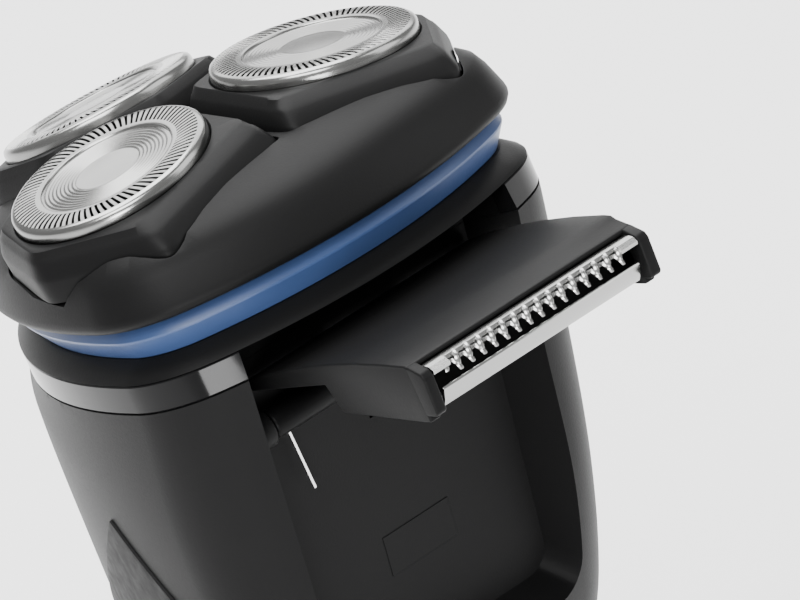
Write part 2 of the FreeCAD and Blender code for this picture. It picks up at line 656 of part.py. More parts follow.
def holder_block(name, low, rim, grow):
    """The holder's outside from its foot to its rim, all its sides grown evenly.

    Below the foot line the valley sides lean in, so that neighbouring holders stay parallel.
    """
    slope_low = holder_top - dim.holder_slope
    foot = slope_low - dim.holder_wall_height

    def wire(height, valley, share):
        reach = [(angle, dim.guard_radius + HOLDER_RIM + (past - HOLDER_RIM) * share + grow)
                 for angle, past in HOLDER_SIDES[name]]
        return holder_outline([(150.0, valley + grow)] + reach + [(-150.0, valley + grow)], height)

    wires = [wire(low, valley_face + valley_lean * (low - foot), 1.0), wire(foot, valley_face, 1.0)]
    if grow == 0.0:
        wires += [wire(slope_low, valley_face - 0.5, 0.45), wire(rim, valley_face - 1.0, 0.0)]
    else:
        wires.append(wire(rim, valley_face, 1.0))
    return Part.makeLoft(wires, True, True)


holder_top = -dim.guard_proud
holder_low = holder_top - dim.holder_height
for name, angle in SPINDLES.items():
    opening = holder_block(name, holder_low - 5.0, 6.0, dim.holder_gap)
    opening.Placement = guard_frame(angle)
    cover = cover.cut(opening)
feature("head_cover", cover, HEAD)

chamber_offset = ring_bore - 0.25
chamber_base = shelf_top - 0.9
chamber_top = ring_top - 0.1
chamber = collar_solid([(chamber_offset, chamber_base), (chamber_offset, chamber_top)])
CHAMBER_WALL = 1.2
chamber_inside = chamber_offset - CHAMBER_WALL
chamber = chamber.cut(collar_solid([(chamber_inside, chamber_base + CHAMBER_WALL),
                                    (chamber_inside, chamber_top)]))
frame_low = ring_top + 1.6
retainer = collar_solid([(lip - 3.4, frame_low), (lip - 3.4, frame_low + 1.1)])
for angle in SPINDLES.values():
    cup = rod(5.4, spoke(angle, spindle_reach, frame_low + 1.0), spoke(angle, spindle_reach, frame_low + 3.6))
    retainer = retainer.fuse(cup)
for angle in SPINDLES.values():
    low_end = spoke(angle, spindle_reach, chamber_base - 1)
    chamber = chamber.cut(rod(spindle_r + 0.6, low_end, spoke(angle, spindle_reach, chamber_top)))
    retainer = retainer.cut(rod(4.2, low_end, spoke(angle, spindle_reach, 0)))
feature("hair_chamber", chamber, HEAD)
feature("retaining_frame", retainer, HEAD)

# ---------------------------------------------------------------- guard, holder and cutter of each shaver

CUTTER_RADIUS = 10.0
CUTTER_BLADES = 15
CUTTER_PLATE = 0.9
blade_top = -dim.guard_wall - 0.08


def cutter_shape():
    """A cutter: hub, plate and a ring of upright blades under the slotted track."""
    plate_low = blade_top - 1.9
    plate = rod(CUTTER_RADIUS - 0.6, Vec(0, 0, plate_low), Vec(0, 0, plate_low + CUTTER_PLATE))
    blade = box(dim.track_inner + 0.3, CUTTER_RADIUS - 0.1, -0.25, 0.25, plate_low + 0.2, blade_top)
    hub = rod(3.4, Vec(0, 0, plate_low - 1.8), Vec(0, 0, plate_low + 0.2))
    shape = plate.fuse(hub)
    for index in range(CUTTER_BLADES):
        tooth = blade.copy()
        tooth.rotate(Vec(), Z_AXIS, 360.0 * index / CUTTER_BLADES)
        shape = shape.fuse(tooth)
    return shape.cut(rod(spindle_r + 0.7, Vec(0, 0, plate_low - 2.0), Vec(0, 0, plate_low - 0.5)))


for name, angle in SPINDLES.items():
    frame = HEAD.multiply(guard_frame(angle))
    holder = holder_block(name, holder_low, holder_top, 0.0)
    holder = holder.cut(rod(dim.guard_radius + 0.02, Vec(0, 0, -dim.guard_depth), Vec(0, 0, 1)))
    holder = holder.cut(rod(dim.guard_radius - 0.9, Vec(0, 0, holder_low - 1), Vec(0, 0, 1)))
    feature("guard_holder_" + name, holder, frame)
    turned("guard_" + name,
           [("0", "-Sizes.guard_wall"), ("0", "-0.05"), ("Sizes.track_inner - 0.6", "-0.05"),
            ("Sizes.track_inner", "0.25"), ("Sizes.guard_radius - 0.5", "0.25"),
            ("Sizes.guard_radius", "-0.25"), ("Sizes.guard_radius", "-Sizes.guard_depth"),
            ("Sizes.guard_radius - Sizes.guard_wall", "-Sizes.guard_depth"),
            ("Sizes.guard_radius - Sizes.guard_wall", "-Sizes.guard_wall")],
           frame)
    feature("cutter_" + name, cutter_shape(), frame)

# ---------------------------------------------------------------- trimmer

HINGE = Place(Vec(0, dim.hinge_y, dim.hinge_z), Turn(X_AXIS, dim.trimmer_rise))
roof_root = 5.4
roof_end = 7.2
reach = dim.trimmer_length
side_start = reach * 0.5
end_foot = 0.7


def trimmer_wedge(points, half_root, half_end, start, end):
    """A side profile (along, up) pulled across the trimmer, its sides narrowing to the end."""
    face = Part.Face(Part.makePolygon([Vec(0, u, v) for u, v in points + points[:1]]))
    block = face.extrude(Vec(FAR, 0, 0))
    block.translate(Vec(-FAR / 2, 0, 0))
    plan = [Vec(-half_root, start, -FAR), Vec(half_root, start, -FAR),
            Vec(half_end, end, -FAR), Vec(-half_end, end, -FAR)]
    prism = Part.Face(Part.makePolygon(plan + plan[:1])).extrude(Vec(0, 0, 2 * FAR))
    return block.common(prism)


half_end = dim.trimmer_half_width
half_root = half_end + dim.trimmer_flare
wall = dim.trimmer_wall
cover_end = reach - 0.8
top_line = [(0.4, roof_root), (reach - 2.3, roof_end), (cover_end, roof_end - 0.2)]
under_line = [(cover_end, end_foot), (reach - 2.2, end_foot), (side_start, 1.7),
              (side_start - 1.2, roof_root - 0.6), (0.4, roof_root - wall)]
cover_profile = top_line + under_line
trimmer_cover = trimmer_wedge(cover_profile, half_root, half_end, -1.0, reach)
comb_root = reach - 7.0
comb_bed = roof_end - 0.95     # underside of the roof over the comb
cavity_profile = [(side_start + wall, roof_root - 0.2), (comb_root - 0.3, roof_end - wall - 0.4),
                  (comb_root - 0.2, comb_bed), (reach + 1, comb_bed), (reach + 1, -3.0),
                  (side_start + wall, -3.0)]
inside = half_end - wall
trimmer_cover = trimmer_cover.cut(trimmer_wedge(cavity_profile, inside, inside, -1.0, reach + 1))
arm_profile = [(-1.2, -1.0), (0.6, -1.6), (5.0, roof_root - 0.4), (0.6, roof_root - 0.4)]
ARM_INNER, ARM_OUTER = 3.4, 6.0
cheek_profile = [(reach - 2.9, 1.4), (reach + 0.3, 1.5), (reach + 1.8, 4.6), (reach + 0.9, 6.3),
                 (reach - 2.9, 6.6)]


def side_plate(profile, start, width):
    """A plate of the given side profile, from x = start, width wide."""
    points = [Vec(start, u, v) for u, v in profile]
    return Part.Face(Part.makePolygon(points + points[:1])).extrude(Vec(width, 0, 0))


for sign in (-1, 1):
    arm = side_plate(arm_profile, sign * ARM_INNER, sign * (ARM_OUTER - ARM_INNER))
    cheek = side_plate(cheek_profile, sign * inside, sign * wall)
    trimmer_cover = trimmer_cover.fuse(arm).fuse(cheek)
trimmer_cover = trimmer_cover.cut(rod(dim.hinge_pin_radius + dim.running_gap, Vec(-8, 0, 0), Vec(8, 0, 0)))
feature("trimmer_cover", trimmer_cover, HINGE)

primitive("Part::Cylinder", "hinge_pin", {"Radius": "Sizes.hinge_pin_radius",
                                          "Height": "2 * Sizes.recess_half_width + 2.4"})
doc.hinge_pin.Placement = Place(Vec(-pin_half_length, dim.hinge_y, dim.hinge_z), Turn(Y_AXIS, 90))
keep(doc.hinge_pin, "trimmer_hinge_pin")

SPRING_OUTER = 1.65
SPRING_START, SPRING_END = 6.6, 14.6
WIRE_RADIUS = 0.3
spring = rod(SPRING_OUTER, Vec(SPRING_START, 0, 0), Vec(SPRING_END, 0, 0))
spring = spring.cut(rod(dim.hinge_pin_radius + 0.1, Vec(0, 0, 0), Vec(FAR, 0, 0)))
feature("trimmer_spring_barrel", spring, Place(Vec(0, dim.hinge_y, dim.hinge_z), NO_TURN))
leg_y = dim.recess_floor + WIRE_RADIUS + 0.35
leg = rod(WIRE_RADIUS, Vec(12.2, leg_y, dim.hinge_z - 2.6), Vec(11.0, leg_y + 0.8, dim.hinge_z - 10.5))
feature("trimmer_spring_leg", leg)

tray_inner = half_end - wall - 0.15
tray_profile = [(side_start + wall + 0.2, 2.0), (reach - 3.0, 1.1), (reach - 1.7, 2.2), (reach - 2.1, 4.3),
                (reach - 2.7, 4.6), (side_start + wall + 0.2, 3.1)]
tray = trimmer_wedge(tray_profile, tray_inner, tray_inner, 0.0, reach)
feature("trimmer_tray", tray, HINGE)

comb_half = dim.comb_half_length
comb_thick = 0.6
comb_low = comb_bed - 0.05 - comb_thick
comb_tip = reach + 1.9
tooth_count = int(2 * (comb_half - 1.6) / dim.tooth_pitch)


def toothed_plate(half_length, root, tip, low, thick, count):
    """A flat plate with a row of pointed teeth on its far edge."""
    shoulder_u = tip - 1.9
    points = [Vec(-half_length, root, low), Vec(half_length, root, low), Vec(half_length, shoulder_u, low)]
    start = count * dim.tooth_pitch / 2
    for index in range(count):
        right = start - index * dim.tooth_pitch
        points.append(Vec(right - 0.10 * dim.tooth_pitch, shoulder_u, low))
        points.append(Vec(right - 0.34 * dim.tooth_pitch, tip, low))
        points.append(Vec(right - 0.56 * dim.tooth_pitch, tip, low))
        points.append(Vec(right - 0.80 * dim.tooth_pitch, shoulder_u, low))
    points.append(Vec(-half_length, shoulder_u, low))
    return Part.Face(Part.makePolygon(points + points[:1])).extrude(Vec(0, 0, thick))


blade_thick = 0.5
blade_low = comb_low - 0.03 - blade_thick
BLADE_TRAVEL = 0.7
feature("trimmer_comb", toothed_plate(comb_half, comb_root, comb_tip, comb_low, comb_thick, tooth_count), HINGE)
blade_half = comb_half - BLADE_TRAVEL - 1.0
feature("trimmer_blade", toothed_plate(blade_half, comb_root + 0.8, comb_tip - 0.3, blade_low, blade_thick,
                                       tooth_count - 1), HINGE)
strip_profile = [(reach - 1.2, 1.75), (reach - 0.4, 1.55), (reach + 0.9, 3.35), (reach + 0.55, 3.6)]
guard_strip = trimmer_wedge(strip_profile,
                            comb_half - 0.5, comb_half - 0.5, 0.0, reach + 2)
feature("trimmer_guard_strip", guard_strip, HINGE)

slider_block = box(-SLIDER_HALF_WIDTH, SLIDER_HALF_WIDTH, 14.0, FAR, slider_low, slider_top)
slider_cap = slider_block.common(handle_solid(0.5)).cut(handle_solid(-dim.housing_wall + 0.2))
feature("trimmer_slider", slider_cap)

# The drive lever reaches through a slot in the recess's floor.
lever = box(-LEVER_HALF, LEVER_HALF, dim.recess_floor - 6.0, dim.recess_floor + 1.4,
            lever_z - LEVER_HALF, lever_z + LEVER_HALF)
feature("trimmer_drive_lever", lever)

# ---------------------------------------------------------------- buttons

button_solid = rod(dim.button_radius, Vec(0, -FAR, dim.button_height),
                   Vec(0, board_front - 1.6, dim.button_height))
feature("power_button", button_solid.common(handle_solid(0.6)))
lens = box(-LENS_SIZE[0] / 2, LENS_SIZE[0] / 2, -FAR, -8.0, LENS_LOW, LENS_LOW + LENS_SIZE[1])
feature("indicator_lens", lens.common(outer).cut(inner))
SCREW_HEAD = 1.9
screws = []
for x, z in screw_places:
    shank = rod(dim.screw_radius - 0.05, Vec(x, BOSS_FRONT + 1.5, z), Vec(x, BOSS_BACK + 0.2, z))
    head = rod(SCREW_HEAD - 0.9, Vec(x, BOSS_BACK + 0.2, z), Vec(x, BOSS_BACK + 1.4, z))
    screws.append(shank.fuse(head))
feature("housing_screws", Part.makeCompound(screws))

# ---------------------------------------------------------------- checks and export

doc.recompute()
for obj in doc.Objects:
    if "Invalid" in obj.State or "Error" in obj.State:
        raise RuntimeError(f"{obj.Label} did not rebuild: {obj.State}")
for obj in PARTS:
    if obj.Shape.isNull() or not obj.Shape.isValid():
        raise RuntimeError(f"{obj.Label} has no valid shape")
os.makedirs("parts", exist_ok=True)
for obj in PARTS:
    obj.Shape.exportStep("parts/" + obj.Label + ".step")
print(len(PARTS), "sub-parts written")
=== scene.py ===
import json
import math

import bmesh
import bpy
from mathutils import Matrix, Vector


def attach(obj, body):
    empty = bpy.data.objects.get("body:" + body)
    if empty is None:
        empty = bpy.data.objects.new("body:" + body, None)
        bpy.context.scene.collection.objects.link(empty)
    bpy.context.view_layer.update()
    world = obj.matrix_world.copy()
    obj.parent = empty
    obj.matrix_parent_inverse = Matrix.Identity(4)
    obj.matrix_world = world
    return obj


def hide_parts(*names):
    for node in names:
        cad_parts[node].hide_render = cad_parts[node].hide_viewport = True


# Looks of the rotary shaver.  Lengths below are millimetres in the row's frame unless a comment
# says otherwise; MM turns them into the scene's metres.
MM = 0.001
SMOOTH = 2

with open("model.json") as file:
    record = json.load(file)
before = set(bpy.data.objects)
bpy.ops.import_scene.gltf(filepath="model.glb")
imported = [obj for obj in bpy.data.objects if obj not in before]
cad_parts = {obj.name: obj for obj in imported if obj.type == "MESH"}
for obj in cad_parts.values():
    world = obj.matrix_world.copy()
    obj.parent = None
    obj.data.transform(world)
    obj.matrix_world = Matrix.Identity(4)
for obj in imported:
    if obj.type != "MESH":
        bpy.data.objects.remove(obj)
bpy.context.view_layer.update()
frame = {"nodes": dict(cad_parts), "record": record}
nodes = frame["nodes"]

# ---------------------------------------------------------------- frames of the shaver
HEAD_HEIGHT = 152.0
HEAD_TILT = math.radians(16.0)
HEAD = Matrix.Translation((0, 0, HEAD_HEIGHT)) @ Matrix.Rotation(HEAD_TILT, 4, "X")
GUARD_SPACING = 27.1
GUARD_REACH = GUARD_SPACING / math.sqrt(3)
GUARD_LEAN = math.radians(9.0)
GUARD_RADIUS = 11.0
GUARDS = {"left": 30.0, "right": 150.0, "front": 270.0}
HINGE_Y, HINGE_Z = 26.0, 129.8
TRIMMER = Matrix.Translation((0, HINGE_Y, HINGE_Z)) @ Matrix.Rotation(math.radians(18.5), 4, "X")

# Outlines: (corner x, corner y, corner radius, back reach, nose y, nose radius, side radius)
COLLAR = (15.0, 14.9, 10.8, 29.4, -13.0, 18.0, 58.0)
HANDLE = [
    (122.0, (14.5, 19.2, 10.8, 31.6, -8.0, 18.0, 60.0)),
    (105.0, (13.1, 19.0, 10.8, 31.6, -6.0, 18.0, 60.0)),
    (90.0, (12.2, 16.8, 10.4, 29.2, -5.0, 17.0, 55.0)),
    (76.0, (11.2, 12.4, 9.8, 24.6, -4.5, 15.5, 50.0)),
    (58.0, (10.0, 9.6, 9.4, 21.0, -4.0, 14.5, 48.0)),
    (34.0, (9.4, 7.6, 9.2, 18.6, -4.0, 13.6, 46.0)),
    (5.0, (9.8, 7.4, 9.2, 18.4, -4.6, 13.4, 46.0)),
]
SEAM, BAND_TOP, SHELF_TOP, RING_TOP = -21.2, -17.9, -16.1, -12.2
SHELF_WIDTH = 2.2
RING_OFFSET = -SHELF_WIDTH - 0.1
RING_FLARE = 1.4
LIP = RING_OFFSET + 3.1
WALL = 2.0
BASE_HEIGHT = 6.0
RECESS_FLOOR, RECESS_HALF, RECESS_LOW = 24.2, 15.2, 95.0


def guard_frame(angle):
    """A guard's own frame: +X away from the head's middle, +Z out of the guard."""
    turn = math.radians(angle)
    spot = Matrix.Translation((GUARD_REACH * math.cos(turn), GUARD_REACH * math.sin(turn), 0))
    return HEAD @ spot @ Matrix.Rotation(turn, 4, "Z") @ Matrix.Rotation(GUARD_LEAN, 4, "Y")


# ---------------------------------------------------------------- mesh helpers
def new_object(name, mesh):
    obj = bpy.data.objects.new(name, mesh)
    bpy.context.scene.collection.objects.link(obj)
    return obj


def from_bmesh(name, bm, place=Matrix()):
    """An object from a bmesh in millimetres, placed and scaled to metres."""
    bmesh.ops.recalc_face_normals(bm, faces=bm.faces)
    bm.transform(Matrix.Scale(MM, 4) @ place)
    mesh = bpy.data.meshes.new(name)
    bm.to_mesh(mesh)
    bm.free()
    return new_object(name, mesh)


def skin(bm, rows, close_rows=False, cap_start=False, cap_end=False):
    """Quads between rows of points; each row is a closed loop."""
    made = [[bm.verts.new(point) for point in row] for row in rows]
    pairs = list(zip(made, made[1:]))
    if close_rows:
        pairs.append((made[-1], made[0]))
    count = len(made[0])
    for lower, upper in pairs:
        for index in range(count):
            after = (index + 1) % count
            bm.faces.new((lower[index], lower[after], upper[after], upper[index]))
    if cap_start:
        bm.faces.new(made[0][::-1])
    if cap_end:
        bm.faces.new(made[-1])
    return made


def skinned(name, rows, place=Matrix(), **options):
    bm = bmesh.new()
    skin(bm, rows, **options)
    return from_bmesh(name, bm, place)


def prism(name, points, low, high, axis="Z", place=Matrix()):
    """A polygon pulled along an axis between two values."""
    def put(a, b, c):
        return {"Z": (a, b, c), "X": (c, a, b), "Y": (a, c, b)}[axis]
    rows = [[put(a, b, level) for a, b in points] for level in (low, high)]
    return skinned(name, rows, place, cap_start=True, cap_end=True)


def block(name, low, high, place=Matrix()):
    corners = [(low[0], low[1]), (high[0], low[1]), (high[0], high[1]), (low[0], high[1])]
    return prism(name, corners, low[2], high[2], "Z", place)


def ring_points(radius, height, count, centre=(0.0, 0.0)):
    return [(centre[0] + radius * math.cos(2 * math.pi * k / count),
             centre[1] + radius * math.sin(2 * math.pi * k / count), height) for k in range(count)]


def turned(name, profile, place=Matrix(), count=96, close=False):
    """A profile of (radius, height) turned about Z; ends on the axis are closed by caps."""
    rows = [ring_points(max(radius, 0.001), height, count) for radius, height in profile]
    return skinned(name, rows, place, close_rows=close, cap_start=not close, cap_end=not close)


def bar(name, radius, start, end, count=24):
    start, end = Vector(start), Vector(end)
    along = end - start
    place = Matrix.Translation(start) @ along.to_track_quat("Z", "Y").to_matrix().to_4x4()
    return turned(name, [(radius, 0.0), (radius, along.length)], place, count)


def bevel(obj, width, segments=3, angle=35.0):
    mod = obj.modifiers.new("bevel", "BEVEL")
    mod.width = width * MM
    mod.segments = segments
    mod.limit_method = "ANGLE"
    mod.angle_limit = math.radians(angle)
    mod.harden_normals = False
    return obj


def bake(obj):
    """Turns an object's modifiers into its mesh."""
    graph = bpy.context.evaluated_depsgraph_get()
    mesh = bpy.data.meshes.new_from_object(obj.evaluated_get(graph))
    obj.modifiers.clear()
    obj.data = mesh
    return obj


def carve(obj, tool, how="DIFFERENCE", keep_tool=False):
    """Cuts, joins or intersects obj with a tool, which is then removed."""
    mod = obj.modifiers.new("carve", "BOOLEAN")
    mod.operation = how
    mod.solver = "MANIFOLD"
    mod.object = tool
    bpy.context.view_layer.update()
    bake(obj)
    if not keep_tool:
        bpy.data.objects.remove(tool)
    return obj


def merge(name, parts):
    """One object out of several."""
    bm = bmesh.new()
    for part in parts:
        copy = part.data.copy()
        copy.transform(part.matrix_world)
        bm.from_mesh(copy)
        bpy.data.meshes.remove(copy)
        bpy.data.objects.remove(part)
    mesh = bpy.data.meshes.new(name)
    bm.to_mesh(mesh)
    bm.free()
    return new_object(name, mesh)


def smooth(obj, angle=35.0):
    """Smooth shading, with edges sharper than the angle left crisp."""
    mesh = obj.data
    for face in mesh.polygons:
        face.use_smooth = True
    mesh.set_sharp_from_angle(angle=math.radians(angle))
    return obj


# ---------------------------------------------------------------- outlines
ARC_STEPS = {"back": 16 * SMOOTH, "corner": 12 * SMOOTH, "side": 14 * SMOOTH, "nose": 14 * SMOOTH}


def outline(spec, offset=0.0, height=0.0, place=Matrix()):
    """Points of the rounded-triangle outline of six tangent arcs, grown evenly by offset."""
    corner_x, corner_y, corner_r, back, nose_y, nose_r, side_r = spec
    corner, nose = Vector((corner_x, corner_y)), Vector((0.0, nose_y))
    drop = corner_y - back
    back_r = (corner_x ** 2 + drop ** 2 - corner_r ** 2) / (2 * (-drop - corner_r))
    hub = Vector((0.0, back - back_r))
    to_corner, to_nose = side_r - corner_r, side_r - nose_r
    span = nose - corner
    along = (to_corner ** 2 - to_nose ** 2 + span.length ** 2) / (2 * span.length)
    aside = math.sqrt(to_corner ** 2 - along ** 2)
    across = Vector((span.y, -span.x)).normalized()
    side = min((corner + span.normalized() * along + across * aside * sign for sign in (1, -1)),
               key=lambda point: point.x)
    arcs = []

    def arc(centre, radius, first, last, steps):
        start = math.atan2(first.y, first.x)
        sweep = math.atan2(last.y, last.x) - start
        sweep = (sweep + math.pi) % (2 * math.pi) - math.pi
        for step in range(steps):
            turn = start + sweep * step / steps
            arcs.append((centre.x + (radius + offset) * math.cos(turn),
                         centre.y + (radius + offset) * math.sin(turn)))

    def flip(vector):
        return Vector((-vector.x, vector.y))

    back_dir, side_dir, nose_dir = corner - hub, corner - side, nose - side
    arc(hub, back_r, flip(back_dir), back_dir, ARC_STEPS["back"])
    arc(corner, corner_r, back_dir, side_dir, ARC_STEPS["corner"])
    arc(side, side_r, side_dir, nose_dir, ARC_STEPS["side"])
    arc(nose, nose_r, nose_dir, flip(nose_dir), ARC_STEPS["nose"])
    arc(flip(side), side_r, flip(nose_dir), flip(side_dir), ARC_STEPS["side"])
    arc(flip(corner), corner_r, flip(side_dir), flip(back_dir), ARC_STEPS["corner"])
    return [place @ Vector((x, y, height)) for x, y in arcs]


def collar_loop(name, profile):
    """A closed band: the loop of (offset, height) swept round the collar's outline."""
    rows = [outline(COLLAR, offset, height, HEAD) for offset, height in profile]
    return skinned(name, rows, close_rows=True)


def collar_solid(name, steps):
    rows = [outline(COLLAR, offset, height, HEAD) for offset, height in steps]
    return skinned(name, rows, cap_start=True, cap_end=True)


def handle_rows(offset, low=0.0):
    """The handle's skin: smooth curves through its sections, from the base up to the band's top."""
    base_spec = HANDLE[-1][1]
    rows = [outline(base_spec, offset - 1.2, low), outline(base_spec, offset - 0.35, low + 0.35),
            outline(base_spec, offset, low + 1.2)]
    keys = [outline(base_spec, offset, low + 1.2)]
    keys += [outline(spec, offset, height) for height, spec in reversed(HANDLE)]
    keys += [outline(COLLAR, offset, SEAM, HEAD), outline(COLLAR, offset, BAND_TOP, HEAD)]
    steps = 5 * SMOOTH
    for index in range(len(keys) - 1):
        before = keys[max(index - 1, 0)]
        first, last = keys[index], keys[index + 1]
        after = keys[min(index + 2, len(keys) - 1)]
        for step in range(1, steps + 1):
            t = step / steps
            row = []
            for p0, p1, p2, p3 in zip(before, first, last, after):
                near, mid, far = (p1 - p0).length, (p2 - p1).length, (p3 - p2).length
                start_way = (p2 - p0) * (mid / (near + mid)) if near > 0.01 else p2 - p1
                end_way = (p3 - p1) * (mid / (mid + far)) if far > 0.01 else p2 - p1
                row.append(p1 * (2 * t ** 3 - 3 * t ** 2 + 1) + start_way * (t ** 3 - 2 * t ** 2 + t)
                           + p2 * (3 * t ** 2 - 2 * t ** 3) + end_way * (t ** 3 - t ** 2))
            rows.append(row)
    return rows


def handle_block(name, offset, low=0.0):
    return skinned(name, handle_rows(offset, low), cap_start=True, cap_end=True)


def under_seam(name):
    return block(name, (-200, -200, -400), (200, 200, SEAM), HEAD)


def recess_block(name, grow):
    """The trimmer's recess: straight sides that open outwards, rounded lower corners."""
    near, far = RECESS_FLOOR - grow, 41.0
    slope = 2.7 / 6.2
    rows = []
    for y in (near, far):
        opening = slope * (y - near)
        wide, low = RECESS_HALF + grow + opening, RECESS_LOW - grow - opening
        narrow = wide - 1.0
        radius = 3.0 + grow + opening * 0.3
        row = [(-wide - 0.6, y, 175.0), (wide + 0.6, y, 175.0)]
        for sign in (1, -1):
            centre = (sign * (narrow - radius), low + radius)
            for step in range(9):
                turn = math.radians(step * 11.25) if sign == 1 else math.radians(90 - step * 11.25)
                x = centre[0] + sign * radius * math.cos(turn)
                row.append((x, y, centre[1] - radius * math.sin(turn)))
        rows.append(row)
    return skinned(name, rows, cap_start=True, cap_end=True)


GRIP_LINE = [(-9.0, 12.0), (8.0, 12.0), (13.5, 60.0), (19.0, 107.0), (7.0, 117.7), (-8.0, 99.0)]


def grip_block(name, side, gap):
    """One grip's zone seen from the side, drawn in by gap, reaching out from the handle's middle."""
    middle = Vector((3.0, 65.0))
    points = [Vector(point) for point in GRIP_LINE]
    points = [point + (middle - point).normalized() * gap for point in points]
    return prism(name, [tuple(point) for point in points], side * 6.0, side * 60.0, "X")


# ---------------------------------------------------------------- materials
def material(name, colour, rough, metal=0.0, grain=40.0, depth=0.1, wear=0.25, tint=0.12, coat=0.0,
             shine=0.5, clear=0.0):
    """A worn surface: noise drives its colour, roughness and bump; marks lighten it in places."""
    made = bpy.data.materials.new(name)
    made.use_nodes = True
    tree = made.node_tree
    add, link = tree.nodes.new, tree.links.new
    shader = next(node for node in tree.nodes if node.type == "BSDF_PRINCIPLED")
    shader.inputs["Metallic"].default_value = metal
    shader.inputs["Coat Weight"].default_value = coat
    shader.inputs["Coat Roughness"].default_value = 0.08
    shader.inputs["Transmission Weight"].default_value = clear
    shader.inputs["Specular IOR Level"].default_value = shine
    place = add("ShaderNodeTexCoord")
    fine = add("ShaderNodeTexNoise")
    fine.inputs["Scale"].default_value = grain / MM / 40.0
    fine.inputs["Detail"].default_value = 6.0
    link(place.outputs["Object"], fine.inputs["Vector"])
    broad = add("ShaderNodeTexNoise")
    broad.inputs["Scale"].default_value = 90.0
    broad.inputs["Detail"].default_value = 3.0
    link(place.outputs["Object"], broad.inputs["Vector"])

    shade = add("ShaderNodeMix")
    shade.data_type = "RGBA"
    shade.inputs["A"].default_value = (*[c * (1 - tint) for c in colour], 1)
    shade.inputs["B"].default_value = (*[min(1.0, c * (1 + tint)) for c in colour], 1)
    link(broad.outputs["Fac"], shade.inputs["Factor"])

    marks = add("ShaderNodeMapRange")
    marks.inputs["From Min"].default_value = 0.62
    marks.inputs["From Max"].default_value = 0.80
    marks.inputs["To Max"].default_value = wear * 0.35
    link(broad.outputs["Fac"], marks.inputs["Value"])
    worn = add("ShaderNodeMix")
    worn.data_type = "RGBA"
    worn.inputs["B"].default_value = (*[min(1.0, c * 1.5 + 0.004) for c in colour], 1)
    link(marks.outputs["Result"], worn.inputs["Factor"])
    link(shade.outputs["Result"], worn.inputs["A"])
    link(worn.outputs["Result"], shader.inputs["Base Color"])

    polish = add("ShaderNodeMapRange")
    polish.inputs["To Min"].default_value = max(0.03, rough * (1 - wear))
    polish.inputs["To Max"].default_value = min(1.0, rough * (1 + wear))
    link(fine.outputs["Fac"], polish.inputs["Value"])
    link(polish.outputs["Result"], shader.inputs["Roughness"])

    bump = add("ShaderNodeBump")
    bump.inputs["Strength"].default_value = depth
    bump.inputs["Distance"].default_value = 0.00005
    link(fine.outputs["Fac"], bump.inputs["Height"])
    link(bump.outputs["Normal"], shader.inputs["Normal"])
    return made


LOOKS = {
    "matt_grey": material("matt dark plastic", (0.0050, 0.0050, 0.0051), 0.45, grain=160.0, depth=0.3,
                          wear=0.12, tint=0.08, shine=0.07),
    "gloss_black": material("gloss dark plastic", (0.004, 0.004, 0.0042), 0.10, grain=30.0, depth=0.03,
                            shine=0.16),
    "grip_rubber": material("grip rubber", (0.007, 0.007, 0.0072), 0.6, grain=26.0, depth=1.0, shine=0.12),
    "blue_ring": material("blue ring plastic", (0.030, 0.056, 0.14), 0.36, grain=120.0, depth=0.08,
                          shine=0.4),
    "guard_steel": material("guard steel", (0.235, 0.235, 0.23), 0.22, metal=1.0, grain=8.0, depth=0.02,
                            wear=0.15, tint=0.05),
    "cutter_steel": material("cutter steel", (0.05, 0.05, 0.05), 0.4, metal=1.0, grain=60.0, depth=0.1),
    "trimmer_steel": material("trimmer steel", (0.34, 0.34, 0.335), 0.22, metal=1.0, grain=12.0, depth=0.03,
                              wear=0.15, tint=0.05),
    "spring_steel": material("spring steel", (0.8, 0.8, 0.79), 0.25, metal=1.0, grain=60.0, depth=0.05),
    "inner_plastic": material("inner plastic", (0.35, 0.36, 0.37), 0.45, grain=60.0, depth=0.15),
    "cell_wrap": material("cell sleeve", (0.10, 0.26, 0.16), 0.35, grain=40.0, depth=0.05),
    "contact_metal": material("contact metal", (0.75, 0.62, 0.32), 0.25, metal=1.0, grain=60.0, depth=0.05),
    "board": material("board lacquer", (0.02, 0.14, 0.06), 0.3, grain=60.0, depth=0.08),
    "motor_can": material("motor can", (0.5, 0.5, 0.5), 0.3, metal=1.0, grain=50.0, depth=0.06),
    "lens": material("lens", (0.85, 0.87, 0.88), 0.25, grain=40.0, depth=0.05, clear=0.6),
    # Near-black inner plastic; on the hinge sleeve this dark colour is painted shade for the shadow beside
    # the spring barrel.
    "dark_plastic": material("dark inner plastic and painted shade", (0.003, 0.003, 0.0031), 0.4, grain=60.0, depth=0.15,
                             shine=0.06),
}


def finish_piece(obj, look, body, *, replaces=()):
    """Gives a piece its material, its CAD body and the CAD nodes it stands for."""
    obj.data.materials.clear()
    obj.data.materials.append(LOOKS[look])
    if body is not None:
        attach(obj, body)
    if replaces:
        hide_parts(*replaces)
    return obj


for entry in frame["record"]["subparts"]:
    node = nodes[entry["node"]]
    node.data.materials.clear()
    node.data.materials.append(LOOKS[entry["material_slot"]])

# ---------------------------------------------------------------- handle
outer = handle_block("outer", 0.0)
carve(outer, under_seam("keep"), "INTERSECT")
inner = handle_block("inner", -WALL, 2.0)
carve(inner, recess_block("pan", 1.6))

